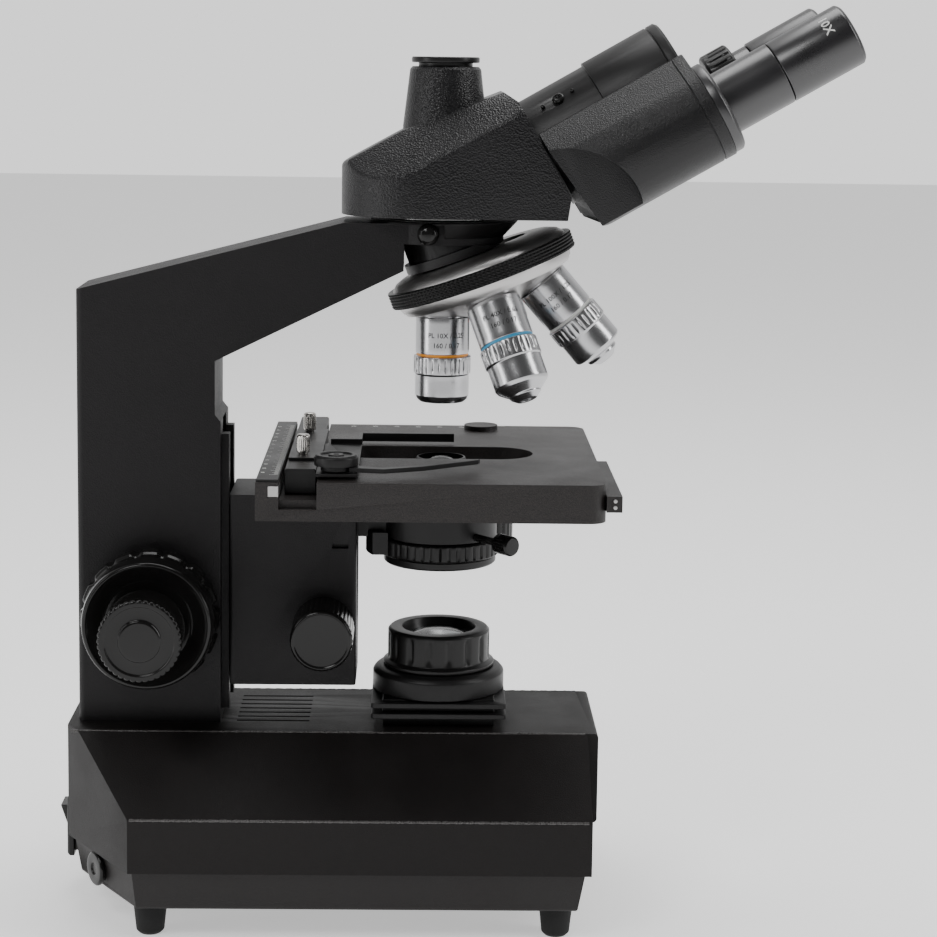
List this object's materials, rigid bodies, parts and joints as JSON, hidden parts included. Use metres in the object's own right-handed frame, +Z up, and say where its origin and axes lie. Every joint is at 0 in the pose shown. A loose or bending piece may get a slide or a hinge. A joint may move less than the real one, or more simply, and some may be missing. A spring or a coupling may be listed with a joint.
{
  "type": "microscope",
  "caption": "Trinocular compound microscope with a tilted binocular head, four-place nosepiece, double-layer mechanical stage, focusing condenser and lit base.",
  "frame": {"origin": "centre of the footprint box on the floor under the feet", "axes": "+Z up, +X towards the observer's eyes, +Y across the stand"},
  "size_m": [0.3395, 0.1582, 0.3906],
  "materials": {
    "cover_paint": "semi-gloss black paint",
    "pan_paint": "fine black texture",
    "arm_paint": "fine matte black texture",
    "wrinkle_paint": "black wrinkle paint",
    "satin_black": "satin black paint",
    "tube_black": "semi-gloss black",
    "black_rubber": "matte",
    "black_plastic": "glossy",
    "matte_black_plastic": "matte",
    "stage_coat": "sandy brown-grey coating",
    "nickel": "nickel plate",
    "bright_chrome": "polished chrome",
    "satin_silver": "satin",
    "aluminium": "machined",
    "steel_core": "laminated core",
    "ceramic_white": "unglazed",
    "lens_glass": "clear",
    "bulb_glass": "clear"
  },
  "bodies": {
    "stand": {"base_cover": "cover_paint", "base_pan": "pan_paint", "rubber_feet": "black_rubber", "rocker_bezel": "matte_black_plastic", "power_inlet": "matte_black_plastic", "fuse_holder": "black_plastic", "transformer": "steel_core", "lamp_socket": "ceramic_white", "halogen_lamp": "bulb_glass", "heat_plates": "satin_black", "illuminator_collar": "satin_black", "arm": "arm_paint", "head_socket": "satin_black", "nosepiece_base": "satin_black"},
    "collector": {"collector_ring": "matte_black_plastic", "collector_lens": "lens_glass"},
    "power_rocker": {"rocker": "black_plastic"},
    "dial": {"brightness_dial": "black_plastic"},
    "lock_screw": {"head_lock_screw": "black_plastic"},
    "coarse": {"coarse_knobs": "black_plastic"},
    "fine": {"fine_knobs": "black_plastic"},
    "focus": {"stage_bracket": "arm_paint", "stage_base": "satin_black"},
    "stage_plate": {"stage_top": "stage_coat", "stage_rails": "satin_silver", "scale_bar": "satin_black"},
    "carriage": {"slide_carriage": "satin_black", "slide_holder": "satin_black", "thumb_screws": "nickel", "clip_drum": "satin_black"},
    "clip": {"clip_arm": "satin_black"},
    "y_knob": {"y_drive_knob": "black_plastic"},
    "x_knob": {"x_drive_knob": "black_plastic"},
    "condenser": {"condenser_carrier": "satin_black", "condenser_body": "satin_black", "condenser_lens": "lens_glass"},
    "condenser_knob": {"condenser_knobs": "black_plastic"},
    "iris": {"iris_ring": "satin_black"},
    "filter": {"filter_holder": "satin_black"},
    "clamp": {"condenser_clamp": "black_plastic"},
    "nosepiece": {"turret": "satin_silver", "turret_ring": "matte_black_plastic", "objective_10x": "bright_chrome", "objective_40x": "bright_chrome", "objective_100x": "bright_chrome", "objective_4x": "bright_chrome"},
    "head": {"head_body": "wrinkle_paint", "head_dovetail": "aluminium", "beam_prism": "lens_glass", "binocular_hub": "satin_black"},
    "camera_cap": {"photo_cap": "matte_black_plastic"},
    "left_wing": {"wing_left": "satin_black", "eyetube_left": "tube_black"},
    "right_wing": {"wing_right": "satin_black", "eyetube_right": "tube_black"},
    "diopter": {"diopter_ring": "matte_black_plastic"},
    "left_eyepiece": {"eyepiece_left": "tube_black", "eye_lens_left": "lens_glass"},
    "right_eyepiece": {"eyepiece_right": "tube_black", "eye_lens_right": "lens_glass"}
  },
  "joints": [
    {"name": "focus_lift", "type": "slide", "parent": "stand", "child": "focus", "axis": [0, 0, 1], "range_m": [-0.003, 0.0135]},
    {"name": "coarse_turn", "type": "hinge", "parent": "stand", "child": "coarse", "pos_m": [-0.12685, -0.00235, 0.1292], "axis": [0, 1, 0], "range_deg": [-29.05, 129.32]},
    {"name": "fine_turn", "type": "hinge", "parent": "coarse", "child": "fine", "pos_m": [-0.12685, -0.00235, 0.1292], "axis": [0, 1, 0], "continuous": true},
    {"name": "condenser_lift", "type": "slide", "parent": "focus", "child": "condenser", "axis": [0, 0, 1], "range_m": [-0.01, 0]},
    {"name": "condenser_knob_turn", "type": "hinge", "parent": "focus", "child": "condenser_knob", "pos_m": [-0.05375, -0.00235, 0.1233], "axis": [0, 1, 0], "range_deg": [-0.4, 164.1]},
    {"name": "iris_turn", "type": "hinge", "parent": "condenser", "child": "iris", "pos_m": [-0.00385, -0.00235, 0.156], "axis": [0, 0, 1], "range_deg": [-60, 20]},
    {"name": "filter_swing", "type": "hinge", "parent": "condenser", "child": "filter", "pos_m": [-0.00385, 0.02715, 0.15], "axis": [0, 0, 1], "range_deg": [0, 65]},
    {"name": "clamp_turn", "type": "hinge", "parent": "condenser", "child": "clamp", "pos_m": [0.02219, -0.03532, 0.1626], "axis": [0.6198, -0.7848, 0], "continuous": true},
    {"name": "stage_y_travel", "type": "slide", "parent": "focus", "child": "stage_plate", "axis": [1, 0, 0], "range_m": [-0.014, 0.022]},
    {"name": "y_knob_turn", "type": "hinge", "parent": "stage_plate", "child": "y_knob", "pos_m": [0.01515, 0.06365, 0.18], "axis": [0, 0, 1], "range_deg": [-100.67, 157.96]},
    {"name": "slide_x_travel", "type": "slide", "parent": "stage_plate", "child": "carriage", "axis": [0, 1, 0], "range_m": [-0.037, 0.037]},
    {"name": "x_knob_turn", "type": "hinge", "parent": "stage_plate", "child": "x_knob", "pos_m": [0.01515, 0.06365, 0.15], "axis": [0, 0, 1], "range_deg": [-132.9, 132.9]},
    {"name": "clip_open", "type": "hinge", "parent": "carriage", "child": "clip", "pos_m": [-0.04735, -0.06435, 0.2], "axis": [0, 0, 1], "range_deg": [-30, 0], "stiffness_Nm_per_rad": 0.02, "springref_deg": 8.59},
    {"name": "nosepiece_turn", "type": "hinge", "parent": "stand", "child": "nosepiece", "pos_m": [-0.00385, -0.00235, 0.3205], "axis": [0.3502, 0, -0.9367], "continuous": true},
    {"name": "head_turn", "type": "hinge", "parent": "stand", "child": "head", "pos_m": [-0.00385, -0.00235, 0.299], "axis": [0, 0, 1], "continuous": true},
    {"name": "head_lock_turn", "type": "hinge", "parent": "stand", "child": "lock_screw", "pos_m": [-0.01065, -0.02235, 0.2934], "axis": [0, 1, 0], "continuous": true},
    {"name": "camera_cap_pull", "type": "slide", "parent": "head", "child": "camera_cap", "axis": [0, 0, 1], "range_m": [0, 0.03]},
    {"name": "left_spacing", "type": "hinge", "parent": "head", "child": "left_wing", "pos_m": [0.03925, -0.00235, 0.32668], "axis": [0.866, 0, 0.5], "range_deg": [-18, 8]},
    {"name": "right_spacing", "type": "hinge", "parent": "head", "child": "right_wing", "pos_m": [0.03925, -0.00235, 0.32668], "axis": [0.866, 0, 0.5], "range_deg": [-8, 18]},
    {"name": "diopter_turn", "type": "hinge", "parent": "right_wing", "child": "diopter", "pos_m": [0.11673, 0.02965, 0.35248], "axis": [0.866, 0, 0.5], "continuous": true},
    {"name": "left_eyepiece_pull", "type": "slide", "parent": "left_wing", "child": "left_eyepiece", "axis": [0.866, 0, 0.5], "range_m": [0, 0.03]},
    {"name": "right_eyepiece_pull", "type": "slide", "parent": "right_wing", "child": "right_eyepiece", "axis": [0.866, 0, 0.5], "range_m": [0, 0.03]},
    {"name": "switch_press", "type": "hinge", "parent": "stand", "child": "power_rocker", "pos_m": [-0.16375, -0.00235, 0.0295], "axis": [0, 1, 0], "range_deg": [0, 14]},
    {"name": "dial_turn", "type": "hinge", "parent": "stand", "child": "dial", "pos_m": [0.02015, 0.07765, 0.0425], "axis": [0, 1, 0], "range_deg": [-150, 150]},
    {"name": "collector_turn", "type": "hinge", "parent": "stand", "child": "collector", "pos_m": [-0.00385, -0.00235, 0.11], "axis": [0, 0, 1], "continuous": true}
  ],
  "couplings": [
    {"joint": "coarse_turn", "follows": "focus_lift", "rad_per_m": 166.67},
    {"joint": "condenser_knob_turn", "follows": "condenser_lift", "rad_per_m": -285.71},
    {"joint": "y_knob_turn", "follows": "stage_y_travel", "rad_per_m": 125},
    {"joint": "x_knob_turn", "follows": "slide_x_travel", "rad_per_m": 62.5},
    {"joint": "right_spacing", "follows": "left_spacing", "ratio": -1}
  ]
}
